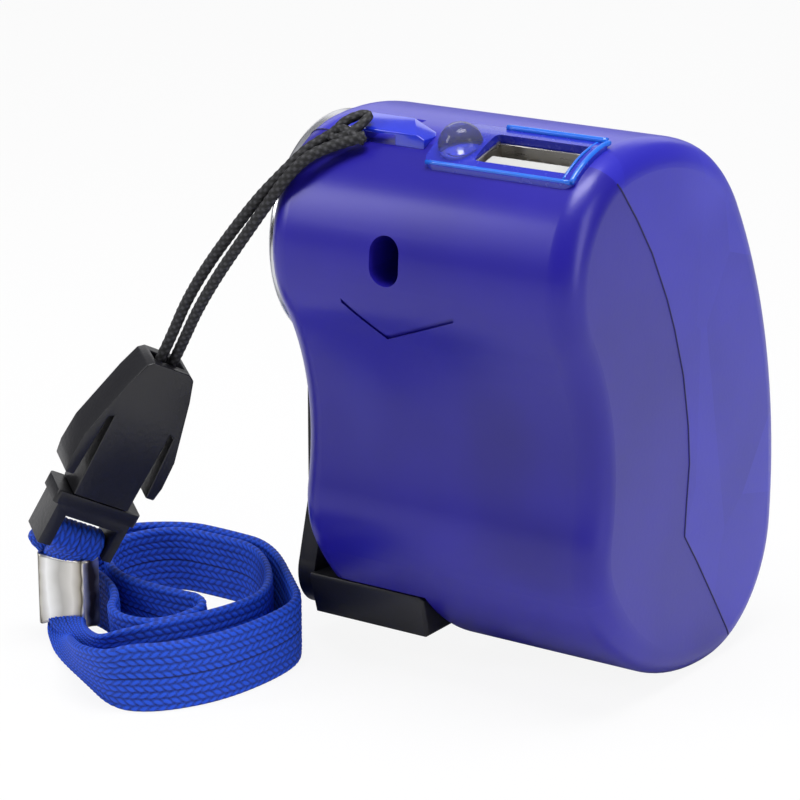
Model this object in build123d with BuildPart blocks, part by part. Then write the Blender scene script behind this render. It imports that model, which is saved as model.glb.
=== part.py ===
from build123d import *
import math
import os

# Pocket charger worked by a folding hand crank, with a wrist strap on a snap buckle.
# Millimetres. X runs along the width (crank at the left end), Y from front to back, Z up.
# Y and Z below are read on the side view of the body; the last step moves everything
# so that the rigid pieces stand centred over the origin.

os.makedirs("parts", exist_ok=True)

# ---- body: eight tangent arcs seen from the side, drawn along X ----
body_width = 44.0
left_side = -body_width / 2
end_round = 3.5
wall = 2.0
crown = (-12.2, 56.9)          # front top lobe
crown_r = 15.0
shoulder = (-3.8, 48.5)        # rear top lobe
shoulder_r = 22.6
heel = (10.3, 16.75)
heel_r = 16.75
toe = (-7.5, 22.8)
toe_r = 12.9
top_r = 38.7                   # arcs that join the lobes
back_r = 73.9
sole_r = 33.2
waist_r = 31.9
foot_cut = 0.5                 # flat ground under the heel

# ---- crank ----
hub = (-8.5, 56.0)
disc_r = 14.8
disc_gap = 0.25
disc_thick = 1.75
boss_r = 4.0
boss_hole_r = 4.3
crank_shaft_r = 2.0
fold_x = left_side - 4.4                 # hinge across the hub, along Y
knuckle_r = 2.1
knuckle_half = 4.0
cheek_in = 4.3
cheek_out = 8.0
arm_in_x = left_side - 2.3
arm_out_x = left_side - 4.9
shank_front = -11.0
shank_back = -5.8
arm_end = (-8.0, 10.0)
arm_end_r = 5.5
fold_pin_r = 1.0
orbit_r = 45.4                 # body is turned back to this radius around the crank axis
orbit_x = left_side + 15.8
grip_gap = 0.3
grip_end_x = left_side + 15.2

# ---- gear train ----
tooth_module = 0.6
pressure = math.radians(25)
tooth_play = 0.12
crank_teeth = 44
wheel_teeth = 36
pinion_teeth = 12
idler_a = (-0.1, 41.45)
idler_b = (-5.0, 27.9)
dynamo = (9.35, 26.65)
gear_width = 2.6
tier_a = left_side + 3.8
tier_b = left_side + 6.8
tier_c = left_side + 9.8
plate_thick = 1.2
outer_plate_x = left_side + 2.2
inner_plate_x = left_side + 12.8
axle_r = 1.0
running_fit = 0.05
pillars = [(-17.0, 41.0), (12.5, 49.5), (-12.0, 16.6), (13.5, 40.0)]
pillar_r = 1.6
pillar_foot_r = 1.0

# ---- dynamo ----
can_r = 12.0
can_x = left_side + 18.4
can_length = 13.0
can_wall = 1.0
dynamo_boss_r = 4.0
magnet_r = 10.2
rotor_r = 9.4

# ---- power outlet and lamp ----
outlet_tilt = math.radians(15)
outlet = (11.0, -17.8, 70.1)
outlet_w = 13.1
outlet_h = 5.7
outlet_skin = 0.35
outlet_depth = 14.0
lamp = (1.3, -18.4, 70.25)
lamp_r = 2.5
frame_proud = 0.6
frame_seat = 1.3
board_w = 18.4
board_l = 13.0
board_t = 1.2
board_x = left_side + 21.8

# ---- lanyard eye ----
eye_x0 = -17.2
eye_x1 = -3.4
eye_y0 = -19.4
eye_y1 = -15.8

# ---- cord, buckle, clamp and strap ----
cord_d = 1.5
strap_w = 9.0
strap_t = 1.2
buckle_at = (-48.4, -29.0, 20.2)
buckle_up = (0.409, 0.241, 0.880)
buckle_side = (0.474, 0.768, -0.430)
clamp_at = (-52.65, -29.2)
clamp_z0 = 2.6
clamp_z1 = 12.0

side_view = Plane.YZ


def meet(c1, d1, c2, d2, side):
    """Point at distance d1 from c1 and d2 from c2, on the chosen side of the line c1-c2."""
    dy, dz = c2[0] - c1[0], c2[1] - c1[1]
    gap = math.hypot(dy, dz)
    along = (gap * gap + d1 * d1 - d2 * d2) / (2 * gap)
    off = side * math.sqrt(d1 * d1 - along * along)
    return (c1[0] + (along * dy - off * dz) / gap, c1[1] + (along * dz + off * dy) / gap)


def toward(centre, point, reach):
    dy, dz = point[0] - centre[0], point[1] - centre[1]
    gap = math.hypot(dy, dz)
    return (centre[0] + dy * reach / gap, centre[1] + dz * reach / gap)


top_c = meet(crown, top_r - crown_r, shoulder, top_r - shoulder_r, -1)
back_c = meet(shoulder, back_r - shoulder_r, heel, back_r - heel_r, -1)
sole_c = meet(heel, sole_r - heel_r, toe, sole_r - toe_r, -1)
waist_c = meet(toe, waist_r + toe_r, crown, waist_r + crown_r, 1)


def body_outline(inset):
    """Closed side outline, offset inwards by inset."""
    def join_point(lobe, lobe_r, arc_c, inner):
        if inner:
            return toward(arc_c, lobe, math.dist(arc_c, lobe) + lobe_r - inset)
        return toward(lobe, arc_c, lobe_r - inset)

    corners = [
        join_point(crown, crown_r, waist_c, False),
        join_point(crown, crown_r, top_c, True),
        join_point(shoulder, shoulder_r, top_c, True),
        join_point(shoulder, shoulder_r, back_c, True),
        join_point(heel, heel_r, back_c, True),
        join_point(heel, heel_r, sole_c, True),
        join_point(toe, toe_r, sole_c, True),
        join_point(toe, toe_r, waist_c, False),
    ]
    arcs = [
        (crown, crown_r - inset), (top_c, top_r - inset),
        (shoulder, shoulder_r - inset), (back_c, back_r - inset),
        (heel, heel_r - inset), (sole_c, sole_r - inset),
        (toe, toe_r - inset), (waist_c, waist_r + inset),
    ]
    with BuildLine() as loop:
        for k, (centre, radius) in enumerate(arcs):
            start, end = corners[k], corners[(k + 1) % 8]
            chord_mid = ((start[0] + end[0]) / 2, (start[1] + end[1]) / 2)
            ThreePointArc(start, toward(centre, chord_mid, radius), end)
    make_face(loop.edges())


def involute(angle):
    return math.tan(angle) - angle


def tooth_outline(teeth, centre, turn):
    """Closed outline of a spur wheel; turn is the direction of one tooth."""
    pitch_r = tooth_module * teeth / 2
    base_r = pitch_r * math.cos(pressure)
    tip_r = pitch_r + 0.8 * tooth_module
    root_r = pitch_r - 1.1 * tooth_module
    low_r = max(base_r, root_r)
    mid_r = (low_r + tip_r) / 2
    half = math.pi / (2 * teeth) - tooth_play / (2 * pitch_r) + involute(pressure)

    def spot(radius, angle):
        return (centre[0] + radius * math.cos(angle), centre[1] + radius * math.sin(angle))

    def half_at(radius):
        return half - involute(math.acos(min(1.0, base_r / radius)))

    step = 2 * math.pi / teeth
    with BuildLine() as loop:
        for k in range(teeth):
            a = turn + k * step
            low, mid, tip = half_at(low_r), half_at(mid_r), half_at(tip_r)
            if low_r > root_r:
                Line(spot(root_r, a - low), spot(low_r, a - low))
                Line(spot(low_r, a + low), spot(root_r, a + low))
            ThreePointArc(spot(low_r, a - low), spot(mid_r, a - mid), spot(tip_r, a - tip))
            Line(spot(tip_r, a - tip), spot(tip_r, a + tip))
            ThreePointArc(spot(tip_r, a + tip), spot(mid_r, a + mid), spot(low_r, a + low))
            Line(spot(root_r, a + low), spot(root_r, a + step - low))
    make_face(loop.edges())


def turn_in_mesh(teeth, centre, other_teeth, other_centre, other_turn):
    """Direction of one tooth that puts this wheel in mesh with the other at rest."""
    way = math.atan2(centre[1] - other_centre[1], centre[0] - other_centre[0])
    phase = (way - other_turn) * other_teeth / (2 * math.pi)
    return way + math.pi - (0.5 - phase) * 2 * math.pi / teeth


crank_turn = math.radians(3)
wheel_turn = math.radians(5)
pinion_a_turn = turn_in_mesh(pinion_teeth, idler_a, crank_teeth, hub, crank_turn)
pinion_b_turn = turn_in_mesh(pinion_teeth, idler_b, wheel_teeth, idler_a, wheel_turn)
pinion_c_turn = turn_in_mesh(pinion_teeth, dynamo, wheel_teeth, idler_b, wheel_turn)


def round_bar(centre, radius, x0, x1, mode=Mode.ADD):
    with BuildSketch(side_view.offset(x0)) as disc:
        with Locations(centre):
            Circle(radius)
    extrude(disc.sketch, amount=x1 - x0, mode=mode)


outlet_up = (0, -math.sin(outlet_tilt), math.cos(outlet_tilt))
outlet_plane = Plane(origin=outlet, x_dir=(1, 0, 0), z_dir=outlet_up)
lamp_plane = Plane(origin=lamp, x_dir=(1, 0, 0), z_dir=outlet_up)

# ---- screw posts between front and back halves ----
main_screw = (-4.0, 57.8)
side_screws = [(14.5, 43.5), (14.5, 11.0)]
well_w = 4.2
well_h = 6.2
main_seat_y = -12.0
side_seat_y = [10.0, 16.5]
screw_r = 0.9
screw_free_r = 1.15
screw_head_r = 1.9
screw_head_t = 1.4
front_view = Plane.XZ           # its normal points to the front

with BuildPart() as posts:
    with BuildSketch(front_view.offset(-30)):
        with Locations(main_screw):
            SlotCenterToCenter(2.0, well_w + 2.4, rotation=90)
        with Locations(*side_screws):
            Circle(2.9)
    extrude(amount=60)
    with BuildSketch(side_view.offset(left_side)):
        body_outline(1.0)
    extrude(amount=body_width, mode=Mode.INTERSECT)

with BuildPart() as chevron:
    with BuildSketch(front_view):
        with BuildLine():
            Polyline((-10.8, 52.2), (-5.7, 47.8), (5.3, 52.1), (5.3, 51.5), (-5.7, 47.2),
                     (-10.8, 51.6), close=True)
        make_face()
    extrude(amount=40)
    with BuildSketch(side_view.offset(left_side)):
        body_outline(0.35)
    extrude(amount=body_width, mode=Mode.SUBTRACT)

with BuildPart() as shell:
    with BuildSketch(side_view.offset(-body_width / 2)):
        body_outline(0)
    extrude(amount=body_width)
    fillet(shell.edges().group_by(Axis.X)[0] + shell.edges().group_by(Axis.X)[-1], end_round)
    with BuildSketch(side_view.offset(orbit_x + wall)):
        body_outline(wall)
    extrude(amount=body_width / 2 - 2 * wall - orbit_x, mode=Mode.SUBTRACT)
    with BuildSketch(side_view.offset(wall - body_width / 2)):
        body_outline(wall)
        with Locations(hub):
            Circle(orbit_r - wall, mode=Mode.INTERSECT)
    extrude(amount=body_width / 2 + orbit_x + 0.1, mode=Mode.SUBTRACT)
    with BuildSketch(side_view.offset(-body_width / 2 - 1)):
        with Locations(hub):
            Rectangle(140, 140)
            Circle(orbit_r, mode=Mode.SUBTRACT)
    extrude(amount=body_width / 2 + 1 + orbit_x, mode=Mode.SUBTRACT)
    with Locations((0, 0, foot_cut - 5)):
        Box(80, 80, 10, mode=Mode.SUBTRACT)
    add(posts.part)
    # screw wells and pilot holes
    with BuildSketch(front_view.offset(-main_seat_y)):
        with Locations(main_screw):
            SlotCenterToCenter(well_h - well_w, well_w, rotation=90)
    extrude(amount=30, mode=Mode.SUBTRACT)
    with BuildSketch(front_view.offset(-main_seat_y)):
        with Locations(main_screw):
            Circle(screw_free_r)
    extrude(amount=-4, mode=Mode.SUBTRACT)
    with BuildSketch(front_view.offset(-main_seat_y)):
        with Locations(main_screw):
            Circle(screw_r)
    extrude(amount=-14, mode=Mode.SUBTRACT)
    for place, seat in zip(side_screws, side_seat_y):
        with BuildSketch(front_view.offset(-seat)):
            with Locations(place):
                Circle(screw_head_r + 0.4)
        extrude(amount=-30, mode=Mode.SUBTRACT)
        with BuildSketch(front_view.offset(-seat)):
            with Locations(place):
                Circle(screw_free_r)
        extrude(amount=4, mode=Mode.SUBTRACT)
        with BuildSketch(front_view.offset(-seat)):
            with Locations(place):
                Circle(screw_r)
        extrude(amount=14, mode=Mode.SUBTRACT)
    round_bar(hub, boss_hole_r, -23, -19, Mode.SUBTRACT)
    add(chevron.part, mode=Mode.SUBTRACT)

# outlet and lamp frame: a plate that follows the surface
with BuildPart() as frame_block:
    with BuildSketch(outlet_plane.offset(-8)):
        with Locations((-2.65, 0.4)):
            RectangleRounded(20.9, 9.5, 1.6)
    extrude(amount=20)
    with BuildSketch(side_view.offset(left_side + wall)):
        body_outline(frame_seat)
    extrude(amount=body_width - 2 * wall, mode=Mode.SUBTRACT)

with BuildPart() as usb_bezel:
    add(frame_block.part)
    with BuildSketch(side_view.offset(left_side + wall)):
        body_outline(-frame_proud)
    extrude(amount=body_width - 2 * wall, mode=Mode.INTERSECT)
    with BuildSketch(outlet_plane.offset(-9)):
        RectangleRounded(outlet_w, outlet_h, 0.6)
    extrude(amount=20, mode=Mode.SUBTRACT)
    with BuildSketch(lamp_plane.offset(-9)):
        Circle(lamp_r)
    extrude(amount=20, mode=Mode.SUBTRACT)

# scoop in the body under the lanyard eye
with BuildPart() as eye_scoop:
    with BuildSketch(side_view.offset(-13.0)):
        with Locations((-17.2, 75.7)):
            Circle(6.0)
    extrude(amount=5.4)

with BuildPart() as whole_body:
    add(shell.part)
    add(frame_block.part, mode=Mode.SUBTRACT)
    with BuildSketch(outlet_plane.offset(-9)):
        RectangleRounded(outlet_w, outlet_h, 0.6)
    extrude(amount=20, mode=Mode.SUBTRACT)
    with BuildSketch(lamp_plane.offset(-9)):
        Circle(lamp_r)
    extrude(amount=20, mode=Mode.SUBTRACT)
    add(eye_scoop.part, mode=Mode.SUBTRACT)

# everything in front of the parting line, seen from the side
with BuildPart() as front_region:
    with BuildSketch(side_view.offset(-40)):
        with BuildLine():
            Polyline(
                (-18.4, 90), (-18.4, 70.6), (-16.8, 68.35), (-12.6, 63.65), (-8.7, 58.7),
                (-4.7, 52.1), (-2.6, 47.8), (-0.1, 41.4), (1.5, 34.6), (2.1, 29.5),
                (1.6, 24.1), (1.35, 20.1), (4.55, 16.1), (9.45, 9.5), (14.0, 3.2),
                (18.0, -2.5), (-60, -2.5), (-60, 90), close=True)
        make_face()
    extrude(amount=80)

with BuildPart() as housing_front:
    add(whole_body.part)
    add(front_region.part, mode=Mode.INTERSECT)

with BuildPart() as housing_rear:
    add(whole_body.part)
    add(front_region.part, mode=Mode.SUBTRACT)

# ---- lanyard eye: a small bridge on the front top edge ----
with BuildPart() as lanyard_eye:
    with BuildSketch(front_view.offset(-eye_y1)):
        with BuildLine():
            Polyline((eye_x0, 66), (eye_x0, 70.9), (-13.4, 72.9), (-7.2, 72.9),
                     (eye_x1, 71.2), (eye_x1, 66), close=True)
        make_face()
    extrude(amount=eye_y1 - eye_y0)
    with BuildSketch(side_view.offset(-25)):
        with BuildLine():
            Polyline((eye_y0, 71.7), (eye_y1, 72.9), (eye_y1, 80), (-25, 80), (-25, 71.7),
                     close=True)
        make_face()
    extrude(amount=30, mode=Mode.SUBTRACT)
    with BuildSketch(side_view.offset(-25)):
        body_outline(0)
    extrude(amount=30, mode=Mode.SUBTRACT)
    with BuildSketch(side_view.offset(-13.0)):
        with BuildLine():
            Polyline((-25, 60), (-25, 70.6), (-17.6, 71.5), (-10, 72.2), (-10, 60), close=True)
        make_face()
    extrude(amount=5.4, mode=Mode.SUBTRACT)

# ---- USB socket ----
with BuildPart() as usb_shell:
    with BuildSketch(outlet_plane.offset(-outlet_depth)):
        RectangleRounded(outlet_w, outlet_h, 0.6)
    extrude(amount=outlet_depth)
    with BuildSketch(outlet_plane.offset(-outlet_depth + outlet_skin)):
        RectangleRounded(outlet_w - 2 * outlet_skin, outlet_h - 2 * outlet_skin, 0.3)
    extrude(amount=outlet_depth, mode=Mode.SUBTRACT)

tongue_y = -(outlet_h / 2 - outlet_skin - 0.9)
with BuildPart() as usb_tongue:
    with BuildSketch(outlet_plane.offset(-outlet_depth + outlet_skin)):
        Rectangle(outlet_w - 2 * outlet_skin - 0.6, outlet_h - 2 * outlet_skin - 0.6)
    extrude(amount=2.4)
    with BuildSketch(outlet_plane.offset(-outlet_depth + outlet_skin)):
        with Locations((0, tongue_y)):
            Rectangle(11.2, 1.8)
    extrude(amount=12.4)

with BuildPart() as usb_contacts:
    with BuildSketch(outlet_plane.offset(-outlet_depth + outlet_skin + 2.4)):
        with Locations((0, tongue_y + 1.0)):
            with GridLocations(2.4, 1, 4, 1):
                Rectangle(1.0, 0.2)
    extrude(amount=9.2)

# ---- lamp ----
with BuildPart() as led_lamp:
    with BuildSketch(lamp_plane.offset(-6.0)):
        Circle(lamp_r)
    extrude(amount=6.4)
    with Locations(lamp_plane.offset(0.4)):
        Sphere(lamp_r)
    with BuildSketch(lamp_plane.offset(-7.0)):
        Circle(2.9)
    extrude(amount=1.0)

with BuildPart() as led_leads:
    with BuildSketch(lamp_plane.offset(-15.0)):
        with Locations((-1.27, 0), (1.27, 0)):
            Rectangle(0.5, 0.5)
    extrude(amount=8.0)

# ---- circuit board behind the socket ----
board_plane = outlet_plane.offset(-outlet_depth)
board_mid = board_x + board_w / 2 - outlet[0]
with BuildPart() as circuit_board:
    with BuildSketch(board_plane.offset(-board_t)):
        with Locations((board_mid, 1.9)):
            Rectangle(board_w, board_l)
        with Locations((-9.7 - 1.27, -0.541), (-9.7 + 1.27, -0.541)):
            Rectangle(0.5, 0.5, mode=Mode.SUBTRACT)
    extrude(amount=board_t)

with BuildPart() as capacitor:
    with BuildSketch(board_plane.offset(-board_t - 8.0)):
        with Locations((3.0, 4.5)):
            Circle(3.0)
    extrude(amount=8.0)
    fillet(capacitor.edges().group_by(Axis.Z)[0], 0.4)

with BuildPart() as diodes:
    with BuildSketch(board_plane.offset(-board_t - 1.4)):
        with Locations((-8.5, 3.0), (-8.5, 6.0), (-4.5, 3.0), (-4.5, 6.0)):
            Rectangle(2.6, 1.5)
    extrude(amount=1.4)

with BuildPart() as regulator:
    with BuildSketch(board_plane.offset(-board_t - 1.5)):
        with Locations((-6.5, -1.8)):
            Rectangle(4.9, 3.9)
    extrude(amount=1.5)

# ---- gearbox plates, pillars and axles ----
def gear_plate(x0, dynamo_hole):
    with BuildSketch(side_view.offset(x0)) as plate:
        body_outline(wall + 0.4)
        with Locations((-2.5, 37.0)):
            Rectangle(40, 46, mode=Mode.INTERSECT)
        with Locations(hub):
            Circle(orbit_r - wall - 0.4, mode=Mode.INTERSECT)
            Circle(crank_shaft_r + running_fit, mode=Mode.SUBTRACT)
        with Locations(idler_a, idler_b):
            Circle(axle_r, mode=Mode.SUBTRACT)
        with Locations(dynamo):
            Circle(dynamo_hole, mode=Mode.SUBTRACT)
        with Locations(*pillars):
            Circle(pillar_foot_r, mode=Mode.SUBTRACT)
    extrude(plate.sketch, amount=plate_thick)


with BuildPart() as gear_plate_outer:
    gear_plate(outer_plate_x, 6.0)

with BuildPart() as gear_plate_inner:
    gear_plate(inner_plate_x, dynamo_boss_r)

with BuildPart() as plate_pillars:
    for place in pillars:
        round_bar(place, pillar_r, outer_plate_x + plate_thick, inner_plate_x)
        round_bar(place, pillar_foot_r, outer_plate_x, inner_plate_x + plate_thick)

with BuildPart() as idler_axles:
    round_bar(idler_a, axle_r, outer_plate_x, inner_plate_x + plate_thick)
    round_bar(idler_b, axle_r, outer_plate_x, inner_plate_x + plate_thick)


def double_wheel(centre, wheel_x, pinion_x, pinion_turn):
    with BuildSketch(side_view.offset(wheel_x)) as wheel:
        tooth_outline(wheel_teeth, centre, wheel_turn)
    extrude(wheel.sketch, amount=gear_width)
    with BuildSketch(side_view.offset(pinion_x)) as pinion:
        tooth_outline(pinion_teeth, centre, pinion_turn)
    extrude(pinion.sketch, amount=gear_width)
    low, high = min(wheel_x, pinion_x), max(wheel_x, pinion_x)
    round_bar(centre, 2.4, low + gear_width - 0.1, high + 0.1)
    round_bar(centre, axle_r + running_fit, low - 1, high + gear_width + 1, Mode.SUBTRACT)


with BuildPart() as idler_wheel_a:
    double_wheel(idler_a, tier_b, tier_a, pinion_a_turn)

with BuildPart() as idler_wheel_b:
    double_wheel(idler_b, tier_c, tier_b, pinion_b_turn)

# ---- dynamo ----
with BuildPart() as dynamo_can:
    round_bar(dynamo, can_r, can_x, can_x + can_length)
    round_bar(dynamo, dynamo_boss_r, inner_plate_x, can_x)
    round_bar(dynamo, can_r - can_wall, can_x + can_wall, can_x + can_length, Mode.SUBTRACT)
    round_bar(dynamo, axle_r + running_fit, inner_plate_x - 1, can_x + 5, Mode.SUBTRACT)

with BuildPart() as dynamo_magnet:
    round_bar(dynamo, can_r - can_wall, can_x + 2.0, can_x + can_length - 2.0)
    round_bar(dynamo, magnet_r, can_x + 1, can_x + can_length, Mode.SUBTRACT)

with BuildPart() as dynamo_cap:
    round_bar(dynamo, can_r - can_wall, can_x + can_length - 1.4, can_x + can_length)
    round_bar(dynamo, 3.0, can_x + can_length, can_x + can_length + 1.2)
    round_bar(dynamo, axle_r + running_fit, can_x, can_x + can_length + 0.6, Mode.SUBTRACT)

with BuildPart() as dynamo_rotor:
    round_bar(dynamo, rotor_r, can_x + 2.4, can_x + can_length - 2.6)
    for k in range(3):
        with BuildSketch(side_view.offset(can_x + 2.4)):
            with Locations(dynamo):
                with PolarLocations(7.6, 1, start_angle=90 + 120 * k):
                    Rectangle(5.0, 1.6)
        extrude(amount=can_length, mode=Mode.SUBTRACT)
    round_bar(dynamo, axle_r, can_x + 2.0, can_x + can_length, Mode.SUBTRACT)

with BuildPart() as dynamo_shaft:
    round_bar(dynamo, axle_r, tier_c, can_x + can_length + 0.4)

with BuildPart() as dynamo_pinion:
    with BuildSketch(side_view.offset(tier_c)):
        tooth_outline(pinion_teeth, dynamo, pinion_c_turn)
    extrude(amount=gear_width)
    round_bar(dynamo, axle_r, tier_c - 1, tier_c + gear_width + 1, Mode.SUBTRACT)

# ---- crank ----
disc_x = -body_width / 2 - disc_gap
with BuildPart() as crank_hub:
    round_bar(hub, disc_r, disc_x - disc_thick, disc_x)
    fillet(crank_hub.edges().filter_by(GeomType.CIRCLE).group_by(Axis.X)[0], 0.6)
    round_bar(hub, boss_r, disc_x, outer_plate_x - 0.3)
    with BuildSketch(front_view.offset(-hub[0] - knuckle_half)):
        with Locations((fold_x, hub[1])):
            Circle(knuckle_r)
        with Locations(((fold_x + disc_x - 0.5) / 2, hub[1])):
            Rectangle(disc_x - 0.5 - fold_x, 2 * knuckle_r)
    extrude(amount=2 * knuckle_half)
    round_bar(hub, crank_shaft_r, disc_x, -10, Mode.SUBTRACT)
    with BuildSketch(front_view.offset(-hub[0] - knuckle_half)):
        with Locations((fold_x, hub[1])):
            Circle(fold_pin_r + running_fit)
    extrude(amount=2 * knuckle_half, mode=Mode.SUBTRACT)

with BuildPart() as crank_shaft:
    round_bar(hub, crank_shaft_r, disc_x, inner_plate_x + plate_thick + 0.6)

with BuildPart() as crank_gear:
    with BuildSketch(side_view.offset(tier_a)):
        tooth_outline(crank_teeth, hub, crank_turn)
    extrude(amount=gear_width)
    round_bar(hub, 3.4, tier_a + gear_width, inner_plate_x - 0.3)
    round_bar(hub, crank_shaft_r, tier_a - 1, inner_plate_x, Mode.SUBTRACT)

with BuildPart() as crank_arm:
    with BuildSketch(side_view.offset(arm_out_x)):
        with Locations(arm_end):
            Circle(arm_end_r)
        with BuildLine():
            Polyline((shank_front, 51.0), (shank_back, 51.0), (shank_back, 20.0),
                     (arm_end[0] + 5.2, 11.8), (arm_end[0] - 5.2, 11.8),
                     (shank_front, 20.0), close=True)
        make_face()
        with Locations((hub[0], 51.8)):
            Rectangle(2 * cheek_out, 3.4)
    extrude(amount=arm_in_x - arm_out_x)
    for side in (-1, 1):
        middle = hub[0] + side * (cheek_in + cheek_out) / 2
        with BuildSketch(front_view.offset(-middle - (cheek_out - cheek_in) / 2)):
            with Locations((fold_x, hub[1])):
                Circle(knuckle_r)
            with Locations(((arm_out_x + arm_in_x) / 2, (hub[1] + 51.8) / 2)):
                Rectangle(arm_in_x - arm_out_x, hub[1] - 51.8)
        extrude(amount=cheek_out - cheek_in)
    with BuildSketch(front_view.offset(-hub[0] - cheek_out)):
        with Locations((fold_x, hub[1])):
            Circle(fold_pin_r)
    extrude(amount=2 * cheek_out, mode=Mode.SUBTRACT)

with BuildPart() as fold_pin:
    with BuildSketch(front_view.offset(-hub[0] - cheek_out)):
        with Locations((fold_x, hub[1])):
            Circle(fold_pin_r)
    extrude(amount=2 * cheek_out)

with BuildPart() as crank_handle:
    with BuildSketch(side_view.offset(arm_in_x)):
        with BuildLine():
            Polyline((-14.5, 10.0), (-14.3, 11.5), (-4.4, 11.5), (-5.6, 4.9), (-13.0, 4.9),
                     close=True)
        make_face()
        with Locations(hub):
            Circle(orbit_r + grip_gap, mode=Mode.SUBTRACT)
    extrude(amount=grip_end_x - arm_in_x)
    chamfer(crank_handle.edges().group_by(Axis.X)[-1], 0.4)

handle_pin_at = (-9.2, 7.6)
with BuildPart() as handle_pin:
    round_bar(handle_pin_at, 1.0, arm_out_x, arm_in_x + 6)

with BuildPart() as crank_arm_drilled:
    add(crank_arm.part)
    add(handle_pin.part, mode=Mode.SUBTRACT)

with BuildPart() as crank_handle_drilled:
    add(crank_handle.part)
    add(handle_pin.part, mode=Mode.SUBTRACT)

# ---- screws that join the halves ----
with BuildPart() as housing_screws:
    with BuildSketch(front_view.offset(-main_seat_y)):
        with Locations(main_screw):
            Circle(screw_head_r)
    extrude(amount=screw_head_t)
    with BuildSketch(front_view.offset(-main_seat_y)):
        with Locations(main_screw):
            Circle(screw_r)
    extrude(amount=-12)
    for place, seat in zip(side_screws, side_seat_y):
        with BuildSketch(front_view.offset(-seat)):
            with Locations(place):
                Circle(screw_head_r)
        extrude(amount=-screw_head_t)
        with BuildSketch(front_view.offset(-seat)):
            with Locations(place):
                Circle(screw_r)
        extrude(amount=14)

# ---- snap buckle, drawn on its own upright axis ----
buckle_out = (0.780, -0.594, -0.200)
buckle_plane = Plane(origin=buckle_at, x_dir=buckle_side, z_dir=buckle_up)
face_plane = Plane(origin=buckle_at, x_dir=buckle_side,
                   z_dir=tuple(buckle_plane.y_dir * -1))
buckle_half = 2.75

with BuildPart() as buckle_socket:
    with BuildSketch(face_plane.offset(-buckle_half)):
        with BuildLine():
            Polyline((-3.2, 21.5), (3.2, 21.5), (4.4, 18.0), (5.7, 13.0), (6.6, 9.5),
                     (6.8, 5.6), (6.5, 3.6), (5.2, 3.6), (5.2, 1.0), (-5.2, 1.0),
                     (-5.2, 3.6), (-6.5, 3.6), (-6.8, 5.6), (-6.6, 9.5), (-5.7, 13.0),
                     (-4.4, 18.0), close=True)
        make_face()
    extrude(amount=2 * buckle_half)
    chamfer(buckle_socket.edges().filter_by(Plane(origin=(0, 0, 0), z_dir=buckle_up))
            .sort_by(Axis(buckle_at, buckle_up))[-2:], 0.6)
    for side in (-1, 1):
        with BuildSketch(face_plane.offset(-buckle_half - 1)):
            with BuildLine():
                Polyline((side * 4.0, 1.0), (side * 5.3, 1.0), (side * 5.3, 3.6),
                         (side * 4.8, 12.6), (side * 4.1, 13.0), close=True)
            make_face()
        extrude(amount=2 * buckle_half + 2, mode=Mode.SUBTRACT)
    with BuildSketch(buckle_plane):
        Rectangle(6.0, 3.4)
    extrude(amount=15.0, mode=Mode.SUBTRACT)
    with BuildSketch(buckle_plane.offset(14.0)):
        Rectangle(4.4, 2.4)
    extrude(amount=10.0, mode=Mode.SUBTRACT)

with BuildPart() as buckle_plug:
    with BuildSketch(buckle_plane.offset(-0.9)):
        RectangleRounded(12.0, 5.6, 0.6)
    extrude(amount=1.8)
    with BuildSketch(buckle_plane.offset(0.9)):
        Rectangle(5.6, 3.0)
    extrude(amount=11.0)
    with BuildSketch(face_plane.offset(-buckle_half)):
        with BuildLine():
            Polyline((-5.3, -0.8), (5.3, -0.8), (5.3, -6.6), (-5.3, -6.9), close=True)
        make_face()
        with Locations((0.3, -5.2)):
            Rectangle(7.6, 6.0, mode=Mode.SUBTRACT)
    extrude(amount=2 * buckle_half)
    with BuildSketch(face_plane.offset(-0.8)):
        with Locations((0, -6.1)):
            Rectangle(10.0, 1.0)
    extrude(amount=1.6)

# ---- clamp on the strap ends ----
with BuildPart() as strap_clamp:
    with BuildSketch(Plane.XY.offset(clamp_z0)):
        with Locations(clamp_at):
            RectangleRounded(strap_w + 1.1, 3.7, 0.7)
            Rectangle(strap_w + 0.1, 2.7, mode=Mode.SUBTRACT)
    extrude(amount=clamp_z1 - clamp_z0)

# ---- cord: two strands from the lanyard eye to the buckle ----
left_strand = [(-16.2, -20.6, 71.2), (-18.1, -23.1, 69.6), (-19.4, -25.4, 66.8),
               (-24.0, -26.4, 61.9), (-34.0, -25.4, 50.2), (-39.5, -24.2, 40.7),
               (-41.2, -25.1, 37.0)]
right_strand = [(-11.0, -20.8, 71.0), (-14.6, -23.0, 69.9), (-17.6, -25.7, 67.8),
                (-22.2, -26.9, 61.3), (-32.2, -25.6, 49.1), (-38.6, -23.0, 39.9),
                (-40.3, -23.8, 36.3)]
strand_radii = [2.0, 3.0, 6.0, 30.0, 6.0]


def cord_along(points, radii, label):
    with BuildLine() as route:
        FilletPolyline(*points, radius=radii)
    with BuildSketch(Plane(origin=route.line @ 0, z_dir=route.line % 0)) as section:
        Circle(cord_d / 2)
    sweep(section.sketch, path=route.line)
    length = sum(edge.length for edge in route.edges())
    print(label, "length", round(length, 2), "radii", radii)
    return length


with BuildPart() as lanyard_cord:
    run = cord_along(left_strand, strand_radii, "left strand")
    run += cord_along(right_strand, strand_radii, "right strand")
print("cord volume", round(lanyard_cord.part.volume, 2),
      "section times length", round(run * math.pi * cord_d ** 2 / 4, 2))

# ---- strap: on edge on the ground, two turns, both ends in the clamp ----
floor = foot_cut


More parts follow.
